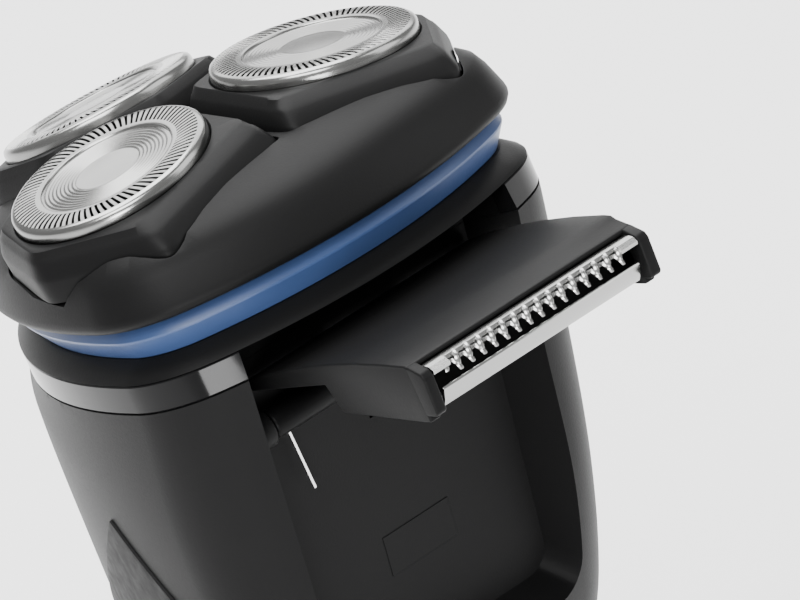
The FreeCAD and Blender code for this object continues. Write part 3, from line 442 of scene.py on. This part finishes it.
rear = new_object("rear_shell", outer.data.copy())
carve(rear, inner, keep_tool=True)
carve(rear, block("half", (-60, 0.0, BASE_HEIGHT), (60, 60, 200)), "INTERSECT")
carve(rear, recess_block("recess", 0.0))
pocket_floor = handle_block("pocket_floor", -0.9)
SLIDER_TOP, SLIDER_LOW, SLIDER_HALF = 88.0, 75.0, 13.0
SLIDER_GAP, SLIDER_TRAVEL = 0.35, 3.0
carve(rear, block("track", (-SLIDER_HALF - SLIDER_GAP, 12.0, SLIDER_LOW - SLIDER_TRAVEL - SLIDER_GAP),
                  (SLIDER_HALF + SLIDER_GAP, 60, SLIDER_TOP + SLIDER_GAP)))
carve(rear, bar("pin hole", 0.9, (-16.4, HINGE_Y, HINGE_Z), (16.4, HINGE_Y, HINGE_Z)))
carve(rear, block("lever slot", (-1.9, 12.0, 122.7), (1.9, RECESS_FLOOR + 0.5, 124.9)))
for side in (1, -1):
    pocket = grip_block("pocket", side, 0.0)
    carve(pocket, pocket_floor, keep_tool=True)
    carve(rear, pocket)
bevel(rear, 0.3, 2, 40.0)
bake(rear)
smooth(rear)
finish_piece(rear, "matt_grey", "handle", replaces=("rear_housing",))

front = new_object("front_shell", outer.data.copy())
carve(front, inner, keep_tool=True)
carve(front, block("half", (-60, -60, BASE_HEIGHT), (60, 0.0, 200)), "INTERSECT")
carve(front, bar("button hole", 7.8, (0, -60, 92.0), (0, 0, 92.0), 64))
for side in (1, -1):
    pocket = grip_block("pocket", side, 0.0)
    carve(pocket, pocket_floor, keep_tool=True)
    carve(front, pocket)
bpy.data.objects.remove(pocket_floor)
carve(front, block("lens hole", (-3.15, -60, 67.85), (3.15, -10, 70.55)))
smooth(front)
finish_piece(front, "matt_grey", "handle", replaces=("front_housing",))
bpy.data.objects.remove(inner)
bpy.data.objects.remove(outer)
grip_out, grip_in = handle_block("grip_out", 0.28), handle_block("grip_in", -0.7)
for name, side in (("left", 1), ("right", -1)):
    panel = grip_block("grip_panel_" + name, side, 0.15)
    carve(panel, grip_out, "INTERSECT", keep_tool=True)
    carve(panel, grip_in, keep_tool=True)
    bevel(panel, 0.2, 2, 40.0)
    finish_piece(smooth(bake(panel)), "grip_rubber", "handle", replaces=("grip_" + name,))
bpy.data.objects.remove(grip_out)
bpy.data.objects.remove(grip_in)

# A low plain plate on the recess's floor.
STAMP_HALF, STAMP_LOW, STAMP_TOP, STAMP_RISE = 4.4, 104.6, 109.4, 0.09
stamp = block("floor_stamp", (-STAMP_HALF, RECESS_FLOOR - 0.3, STAMP_LOW),
              (STAMP_HALF, RECESS_FLOOR + STAMP_RISE, STAMP_TOP))
bevel(stamp, 0.08, 2, 30.0)
finish_piece(bake(stamp), "matt_grey", "handle")

# ---------------------------------------------------------------- collar
band = collar_loop("gloss_band", [(-0.15, SEAM + 0.05), (0.0, SEAM + 0.25), (0.0, BAND_TOP - 0.25),
                                  (-0.2, BAND_TOP - 0.02),
                                  (-2.2, BAND_TOP - 0.02), (-2.2, SEAM + 0.05)])
carve(band, recess_block("recess", 0.0))
carve(band, block("release slot", (-5.15, -60, SEAM + 0.5), (5.15, -25.0, BAND_TOP - 0.3), HEAD))
finish_piece(smooth(band), "gloss_black", "handle", replaces=("collar_band",))
mouth = collar_solid("mouth_wall", [(-2.3, SEAM + 0.05), (-2.3, BAND_TOP - 0.05)])
carve(mouth, recess_block("pan", 1.6), "INTERSECT")
carve(mouth, recess_block("recess", 0.0))
finish_piece(smooth(mouth), "matt_grey", "handle")
shelf_bore = -SHELF_WIDTH - 2.1
shelf = collar_loop("collar_slope", [(0.0, BAND_TOP), (-0.25, BAND_TOP + 0.35),
                                     (-SHELF_WIDTH + 0.2, SHELF_TOP - 0.05), (-SHELF_WIDTH, SHELF_TOP),
                                     (shelf_bore, SHELF_TOP), (shelf_bore, BAND_TOP)])
finish_piece(smooth(shelf, 50.0), "matt_grey", "handle", replaces=("collar_shelf",))

# ---------------------------------------------------------------- head: ring and cover
ring_low = RING_TOP - 1.5
brim = RING_OFFSET + RING_FLARE
ring_bore = RING_OFFSET - 2.0
ring = collar_loop("blue_ring", [(RING_OFFSET - 0.1, SHELF_TOP + 0.1), (RING_OFFSET, SHELF_TOP + 0.25),
                                 (brim - 0.06, ring_low - 0.12),
                                 (brim - 0.03, ring_low + 0.1), (brim - 0.9, RING_TOP), (ring_bore, RING_TOP),
                                 (ring_bore, SHELF_TOP + 0.1)])
finish_piece(smooth(ring, 20.0), "blue_ring", "head", replaces=("accent_ring",))

COVER_STEPS = [(LIP - 2.0, 0.05), (LIP - 0.9, 0.1), (LIP - 0.35, 0.35), (LIP - 0.05, 0.8), (LIP, 1.1),
               (LIP - 0.1, 1.6),
               (LIP - 0.4, 2.5), (LIP - 0.95, 4.1), (LIP - 1.7, 5.5), (LIP - 3.3, 6.8), (LIP - 5.3, 7.65),
               (LIP - 7.4, 8.4), (LIP - 9.6, 9.0)]
cover_outer = [outline(COLLAR, offset, RING_TOP + rise, HEAD) for offset, rise in COVER_STEPS]
cover_inner = [outline(COLLAR, max(offset - 1.4, -9.9), RING_TOP + max(rise - 1.3 * rise / 9.0, 0.05), HEAD)
               for offset, rise in reversed(COVER_STEPS)]
cover_bm = bmesh.new()
outer_rows = skin(cover_bm, cover_outer, cap_end=True)
inner_rows = skin(cover_bm, cover_inner, cap_start=True)
for index in range(len(outer_rows[0])):
    after = (index + 1) % len(outer_rows[0])
    cover_bm.faces.new((outer_rows[0][index], outer_rows[0][after],
                        inner_rows[-1][after], inner_rows[-1][index]))
cover = from_bmesh("head_dome", cover_bm)

# ---------------------------------------------------------------- guard holders
VALLEY = GUARD_SPACING / 2 - 1.2
VALLEY_LEAN = math.tan(GUARD_LEAN) * math.sin(math.radians(60))
HOLDER_TOP, HOLDER_LOW = -1.2, -6.4
SLOPE_LOW = HOLDER_TOP - 0.9
FOOT = SLOPE_LOW - 2.0
ROUND_SIDE = [(95.0, 2.2), (45.0, 1.9)]
BACK_SIDE = [(0.0, 2.7), (-72.0, 3.9)]


def mirrored(sides):
    return [(-angle, past) for angle, past in reversed(sides)]


HOLDER_SIDES = {"right": ROUND_SIDE + BACK_SIDE, "left": mirrored(ROUND_SIDE + BACK_SIDE),
                "front": ROUND_SIDE + [(0.0, 1.6)] + mirrored(ROUND_SIDE)}
HOLDER_COUNT = 120 * SMOOTH
SHARPNESS = 26.0     # how closely the rounded outline keeps to its straight sides


def holder_row(name, height, valley, share, grow=0.0):
    sides = [(150.0, valley + grow), (-150.0, valley + grow)]
    sides += [(angle, GUARD_RADIUS + 0.7 + (past - 0.7) * share + grow) for angle, past in HOLDER_SIDES[name]]
    row = []
    for index in range(HOLDER_COUNT):
        turn = 2 * math.pi * index / HOLDER_COUNT
        pull = sum(max(0.0, math.cos(turn - math.radians(angle)) / reach) ** SHARPNESS
                   for angle, reach in sides)
        radius = pull ** (-1.0 / SHARPNESS)
        row.append((radius * math.cos(turn), radius * math.sin(turn), height))
    return row


for name, angle in GUARDS.items():
    place = guard_frame(angle)
    tool_low = HOLDER_LOW - 0.4
    lean_in = VALLEY + VALLEY_LEAN * (tool_low - FOOT)
    tool = skinned("opening", [
        holder_row(name, tool_low, lean_in, 1.0, 0.3), holder_row(name, FOOT, VALLEY, 1.0, 0.3),
        holder_row(name, FOOT + 0.5, VALLEY, 0.93, 0.3),
        holder_row(name, SLOPE_LOW - 0.05, VALLEY, 0.47, 0.35),
        holder_row(name, HOLDER_TOP, VALLEY, 0.1, 0.5), holder_row(name, 6.0, VALLEY, 0.1, 0.5),
    ], place, cap_start=True, cap_end=True)
    carve(cover, tool)
    low_valley = VALLEY + VALLEY_LEAN * (HOLDER_LOW - FOOT)
    wall_in = GUARD_RADIUS - 0.9
    rows = [
        ring_points(wall_in, HOLDER_LOW, HOLDER_COUNT),
        holder_row(name, HOLDER_LOW, low_valley, 1.0), holder_row(name, FOOT, VALLEY, 1.0),
        holder_row(name, FOOT + 0.5, VALLEY - 0.06, 0.93),
        holder_row(name, SLOPE_LOW - 0.35, VALLEY - 0.38, 0.58),
        holder_row(name, SLOPE_LOW - 0.05, VALLEY - 0.5, 0.47),
        holder_row(name, SLOPE_LOW + 0.12, VALLEY - 0.65, 0.36),
        holder_row(name, HOLDER_TOP - 0.12, VALLEY - 0.95, 0.05),
        holder_row(name, HOLDER_TOP, VALLEY - 1.1, -0.2),
        ring_points(GUARD_RADIUS + 0.22, HOLDER_TOP - 0.02, HOLDER_COUNT),
        ring_points(GUARD_RADIUS + 0.05, HOLDER_TOP - 0.2, HOLDER_COUNT),
        ring_points(GUARD_RADIUS + 0.02, -3.4, HOLDER_COUNT), ring_points(wall_in, -3.4, HOLDER_COUNT),
    ]
    holder = skinned("holder_plate_" + name, rows, place, close_rows=True)
    finish_piece(smooth(holder, 30.0), "matt_grey", "holder_" + name, replaces=("guard_holder_" + name,))

finish_piece(smooth(cover, 32.0), "matt_grey", "head", replaces=("head_cover",))

# ---------------------------------------------------------------- slotted guards
SLOTS = 84
SLOT_INNER, SLOT_OUTER = 8.0, 10.35
SLANT = math.radians(4.6)     # turn between a slot's inner and outer ends


def track_height(radius):
    """Height of the rounded slotted track."""
    share = (radius - 9.1) / 1.5
    return 0.25 - 0.16 * share ** 4 - 0.02 * share ** 2


def guard_mesh(place):
    bm = bmesh.new()
    count = 168 * SMOOTH
    rim = [(SLOT_OUTER, track_height(SLOT_OUTER)), (10.62, 0.07), (10.85, -0.1), (10.97, -0.35),
           (11.0, -0.7), (11.0, -3.4),
           (10.65, -3.4), (10.65, -0.75), (10.5, -0.4), (SLOT_OUTER, track_height(SLOT_OUTER) - 0.35)]
    skin(bm, [ring_points(radius, height, count) for radius, height in rim], close_rows=True)
    disc = [(0.001, -0.02), (3.0, -0.02), (3.15, -0.035)]
    ripple = 3.15
    while ripple < 6.7:
        disc += [(ripple + 0.22, 0.0), (ripple + 0.44, -0.07)]
        ripple += 0.44
    disc += [(7.05, -0.06), (7.25, -0.09), (7.36, 0.0), (7.42, 0.14), (7.6, 0.21),
             (SLOT_INNER, track_height(SLOT_INNER)),
             (SLOT_INNER, track_height(SLOT_INNER) - 0.35), (7.4, -0.35), (0.001, -0.35)]
    skin(bm, [ring_points(radius, height, count) for radius, height in disc], cap_start=True, cap_end=True)
    pitch = 2 * math.pi / SLOTS
    for index in range(SLOTS):
        rows = []
        for step in range(5):
            share = step / 4
            radius = SLOT_INNER - 0.05 + (SLOT_OUTER - SLOT_INNER + 0.1) * share
            turn = pitch * index + SLANT * share
            half = pitch * 0.30
            top = track_height(radius)
            section = ((-1, top - 0.33), (1, top - 0.33), (1, top - 0.04),
                       (0.8, top), (-0.8, top), (-1, top - 0.04))
            rows.append([(radius * math.cos(turn + way * half), radius * math.sin(turn + way * half), height)
                         for way, height in section])
        skin(bm, rows, cap_start=True, cap_end=True)
    return from_bmesh("slotted_guard", bm, place)


for name, angle in GUARDS.items():
    guard = guard_mesh(guard_frame(angle))
    guard.name = "slotted_guard_" + name
    finish_piece(smooth(guard, 30.0), "guard_steel", "holder_" + name, replaces=("guard_" + name,))

# ---------------------------------------------------------------- trimmer
REACH = 33.3
HALF_END, HALF_ROOT = 14.6, 14.8
T_WALL = 1.3
ROOF_ROOT, ROOF_END = 5.4, 7.2
SIDE_START = REACH * 0.5


def side_width(along):
    return HALF_ROOT + (HALF_END - HALF_ROOT) * along / REACH


def trimmer_shape(name, profile, half=None):
    """A side profile of (along, up) pulled across the trimmer."""
    rows = []
    for sign in (-1, 1):
        rows.append([(sign * (half or side_width(u)), u, v) for u, v in profile])
    return skinned(name, rows, TRIMMER, cap_start=True, cap_end=True)


under = [(32.5, 0.7), (31.1, 0.7), (SIDE_START, 1.7), (SIDE_START - 1.2, 4.8), (0.4, ROOF_ROOT - T_WALL)]


def roof_line(across):
    """The roof's profile; its crease sweeps back from one side (across = -1) to the other."""
    crease = 28.5 - 2.6 * (across + 1.0)
    top = 7.6 - 0.3 * across
    line = [(0.4, ROOF_ROOT)]
    line += [(crease * share, ROOF_ROOT + (top - ROOF_ROOT) * (1 - (1 - share) ** 2))
             for share in (0.2, 0.4, 0.6, 0.8)]
    line += [(crease, top), (crease + 1.2, top - 0.08), ((crease + 32.0) / 2, (top + 7.0) / 2)]
    return line + [(32.0, 6.9), (32.6, 6.75)]


shell_rows = []
for step in range(13):
    across = -1.0 + step / 6
    shell_rows.append([(across * side_width(u), u, v) for u, v in roof_line(across) + under])
shell = skinned("trimmer_shell", shell_rows, TRIMMER, cap_start=True, cap_end=True)
cavity = [(SIDE_START + T_WALL, 5.2), (26.0, 5.5), (26.5, 6.25), (34.5, 6.3), (34.5, -3.0),
          (SIDE_START + T_WALL, -3.0)]
carve(shell, trimmer_shape("cavity", cavity, HALF_END - T_WALL))
bevel(shell, 0.45, 3, 30.0)
bake(shell)
cheeks = []
for sign in (-1, 1):
    cheek_line = [(30.4, 1.4), (33.9, 1.3), (34.3, 1.6), (34.8, 5.4), (34.5, 6.0), (32.6, 6.75), (30.4, 6.6)]
    cheek = prism("cheek", cheek_line, sign * HALF_END, sign * (HALF_END - T_WALL), "X", TRIMMER)
    bevel(cheek, 0.22, 3, 30.0)
    cheeks.append(bake(cheek))
arms = []
for sign in (-1, 1):
    arm_outline = [(-1.2, -1.0), (0.6, -1.6), (5.0, 5.0), (0.6, 5.0)]
    arms.append(prism("arm", arm_outline, sign * 3.4, sign * 6.0, "X", TRIMMER))
hood = smooth(merge("trimmer_hood", [shell] + cheeks + arms), 30.0)
finish_piece(hood, "matt_grey", "trimmer", replaces=("trimmer_cover",))

tray_profile = [(18.15, 2.0), (30.3, 1.1), (31.6, 2.2), (31.2, 4.3), (30.6, 4.6), (18.15, 3.1)]
tray = trimmer_shape("trimmer_inside", tray_profile, 13.1)
finish_piece(smooth(tray), "dark_plastic", "trimmer", replaces=("trimmer_tray",))

PLATE_TOP = 6.2
TOOTH_PITCH = 1.5
TEETH = 16


def tooth_rows(x, lean, top, width, reach=0.9):
    """A curled tooth: a rounded finger that leans sideways and bends over and down as it goes out."""
    rows = []
    for step in range(7):
        share = step / 6
        bend = math.radians(105.0) * share
        out = Vector((0.0, math.sin(bend), math.cos(bend)))
        fall = reach * (1 - math.cos(bend))
        centre = Vector((x + lean * share, 33.55 + reach * math.sin(bend), top - fall - 0.25))
        half = width * (1.0 - 0.35 * share ** 2) / 2
        thick = 0.26 * (1.0 - 0.25 * share)
        row = []
        for corner in range(8):
            turn = math.radians(45.0 * corner + 22.5)
            side = Vector((half * math.cos(turn), 0.0, 0.0))
            row.append(centre + side + out * thick * math.sin(turn))
        rows.append(row)
    return rows


def comb_mesh(name, half, teeth, lean, top, shift, tabs):
    bm = bmesh.new()
    plate = [(27.0, top), (33.5, top), (33.9, top - 0.08), (33.9, top - 0.5), (27.0, top - 0.5)]
    skin(bm, [[(sign * half, u, v) for u, v in plate] for sign in (-1, 1)], cap_start=True, cap_end=True)
    for index in range(teeth):
        x = (index - (teeth - 1) / 2) * TOOTH_PITCH + shift
        skin(bm, tooth_rows(x, lean, top, 0.72), cap_start=True, cap_end=True)
    if tabs:
        for sign in (-1, 1):
            curl = [(33.6, top), (34.3, top - 0.15), (34.75, top - 0.6),
                    (34.6, top - 0.95), (34.25, top - 0.55), (33.6, top - 0.45)]
            tab_rows = [[(sign * x, u, v) for u, v in curl] for x in (half - 2.1, half)]
            skin(bm, tab_rows, cap_start=True, cap_end=True)
    return from_bmesh(name, bm, TRIMMER)


comb = comb_mesh("comb_fixed", 13.2, TEETH, 0.42, PLATE_TOP, 0.0, True)
finish_piece(smooth(comb, 30.0), "trimmer_steel", "trimmer", replaces=("trimmer_comb",))
blade = comb_mesh("comb_moving", 11.5, TEETH - 1, -0.42, PLATE_TOP - 0.55, 0.0, False)
finish_piece(smooth(blade, 30.0), "trimmer_steel", "blade", replaces=("trimmer_blade",))

strip_profile = [(32.1, 1.75), (32.9, 1.55), (33.25, 1.95), (33.5, 2.25), (34.2, 3.35),
                 (34.05, 3.6), (33.85, 3.55), (33.05, 2.4)]
strip = trimmer_shape("guard_lip", strip_profile, 12.7)
bevel(strip, 0.08, 2, 30.0)
finish_piece(smooth(bake(strip), 30.0), "trimmer_steel", "trimmer", replaces=("trimmer_guard_strip",))

# ---------------------------------------------------------------- hinge spring
SPRING_FROM, SPRING_TO = 6.6, 14.6
# The hinge sleeve takes the near-black dark plastic look: painted shade standing in for the shadow between
# the spring barrel and the recess wall.
sleeve = bar("hinge_sleeve", 1.62, (SPRING_FROM, HINGE_Y, HINGE_Z), (SPRING_TO, HINGE_Y, HINGE_Z), 48)
bevel(sleeve, 0.4, 3, 40.0)
finish_piece(smooth(bake(sleeve), 50.0), "dark_plastic", "handle",
             replaces=("trimmer_spring_barrel",))
for sign in (1, -1):
    boss = bar("hinge_boss", 2.0, (sign * 14.75, HINGE_Y, HINGE_Z), (sign * 17.5, HINGE_Y, HINGE_Z), 40)
    boss.name = "hinge_boss_left" if sign == 1 else "hinge_boss_right"
    bevel(boss, 0.3, 2, 40.0)
    finish_piece(smooth(bake(boss), 50.0), "matt_grey", "handle")
leg = bar("coil_wire", 0.21, (12.2, RECESS_FLOOR + 1.0, 128.6), (11.15, RECESS_FLOOR + 1.45, 120.3), 16)
finish_piece(smooth(leg, 60.0), "spring_steel", "handle", replaces=("trimmer_spring_leg",))

# ---------------------------------------------------------------- camera, floor and lights
CAMERA = {"azimuth": 31.157, "elevation": 30.032, "roll": 15.613, "distance": 813.757,
          "aside": -23.268, "up": 19.959}


def look_from(azimuth, elevation, roll):
    """The camera's right, up and back directions."""
    a, e, r = (math.radians(value) for value in (azimuth, elevation, roll))
    right = Vector((-math.cos(a), math.sin(a), 0.0))
    up = Vector((-math.sin(a) * math.sin(e), -math.cos(a) * math.sin(e), math.cos(e)))
    back = Vector((math.sin(a) * math.cos(e), math.cos(a) * math.cos(e), math.sin(e)))
    c, s = math.cos(r), math.sin(r)
    return right * c - up * s, right * s + up * c, back


right, up, back = look_from(CAMERA["azimuth"], CAMERA["elevation"], CAMERA["roll"])
eye = Vector((0, 0, HEAD_HEIGHT)) - right * CAMERA["aside"] - up * CAMERA["up"] + back * CAMERA["distance"]
camera_data = bpy.data.cameras.new("camera")
camera_data.lens = 360.0
camera_data.sensor_width = 36.0
camera_data.clip_end = 20.0
camera = bpy.data.objects.new("camera", camera_data)
bpy.context.scene.collection.objects.link(camera)
camera.matrix_world = Matrix.Translation(eye * MM) @ Matrix((right, up, back)).transposed().to_4x4()
bpy.context.scene.camera = camera

floor_look = material("pale floor", (0.86, 0.86, 0.86), 0.7, grain=5.0, depth=0.02, wear=0.05, tint=0.01)
floor = block("floor", (-2500, -2500, -6.0), (2500, 2500, -0.2))
floor.data.materials.append(floor_look)


def lamp(name, spot, size, power, target=(0, 5, 140)):
    data = bpy.data.lights.new(name, "AREA")
    data.shape = "RECTANGLE"
    data.size, data.size_y = size
    data.energy = power
    obj = bpy.data.objects.new(name, data)
    bpy.context.scene.collection.objects.link(obj)
    way = (Vector(target) - Vector(spot)) * MM
    facing = way.to_track_quat("-Z", "Y").to_matrix().to_4x4()
    obj.matrix_world = Matrix.Translation(Vector(spot) * MM) @ facing
    return obj


lamp("key softbox", (500, 450, 900), (0.7, 0.5), 15.0)
lamp("fill softbox", (-700, 500, 500), (0.6, 0.8), 5.0)
lamp("top softbox", (-50, -350, 1000), (0.9, 0.7), 24.0)
lamp("band softbox", (515, 775, 104), (0.34, 0.26), 6.5)
lamp("far softbox", (-650, -900, 700), (1.3, 0.9), 14.0)

world = bpy.data.worlds.new("studio")
world.use_nodes = True
world.node_tree.nodes["Background"].inputs["Color"].default_value = (1.0, 1.0, 1.0, 1.0)
world.node_tree.nodes["Background"].inputs["Strength"].default_value = 0.6
bpy.context.scene.world = world
